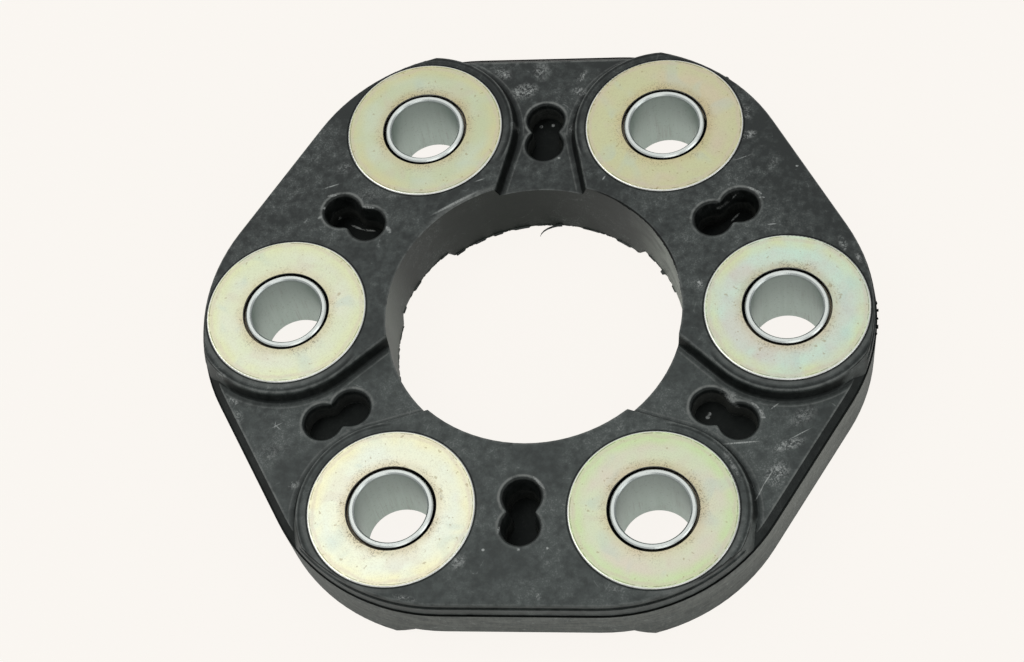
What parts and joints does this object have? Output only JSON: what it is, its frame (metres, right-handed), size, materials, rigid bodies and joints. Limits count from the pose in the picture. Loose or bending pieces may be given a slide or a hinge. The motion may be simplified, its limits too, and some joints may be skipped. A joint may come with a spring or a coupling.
{
  "type": "flexible shaft coupling",
  "caption": "Hexagonal rubber disc coupling with bonded steel sleeves and flush support washers, alternating raised pads and valleys, blind pockets and a round centre hole.",
  "frame": {"origin": "on the shaft's axis, at mid thickness", "axes": "+Z along the shaft's axis, towards the side in view; +X from the axis to bush 1; +Y square to both"},
  "size_m": [0.135, 0.1272, 0.017],
  "materials": {
    "moulded_rubber": "satin charcoal moulded rubber, scuffed and dusty",
    "yellow_zinc_steel": "pale yellow and green zinc passivation",
    "sleeve_steel": "bright zinc plated",
    "plain_steel": "plain",
    "cord": "wound polyester cord"
  },
  "bodies": {
    "root": {"rubber_body": "moulded_rubber", "sleeve_1": "sleeve_steel", "sleeve_2": "sleeve_steel", "sleeve_3": "sleeve_steel", "sleeve_4": "sleeve_steel", "sleeve_5": "sleeve_steel", "sleeve_6": "sleeve_steel", "upper_washer_1": "yellow_zinc_steel", "upper_washer_2": "yellow_zinc_steel", "upper_washer_3": "yellow_zinc_steel", "upper_washer_4": "yellow_zinc_steel", "upper_washer_5": "yellow_zinc_steel", "upper_washer_6": "yellow_zinc_steel", "lower_washer_1": "yellow_zinc_steel", "lower_washer_2": "yellow_zinc_steel", "lower_washer_3": "yellow_zinc_steel", "lower_washer_4": "yellow_zinc_steel", "lower_washer_5": "yellow_zinc_steel", "lower_washer_6": "yellow_zinc_steel", "divider_washer_1": "plain_steel", "divider_washer_2": "plain_steel", "divider_washer_3": "plain_steel", "divider_washer_4": "plain_steel", "divider_washer_5": "plain_steel", "divider_washer_6": "plain_steel", "upper_cord_loop_1": "cord", "upper_cord_loop_2": "cord", "upper_cord_loop_3": "cord", "lower_cord_loop_1": "cord", "lower_cord_loop_2": "cord", "lower_cord_loop_3": "cord"}
  },
  "joints": []
}
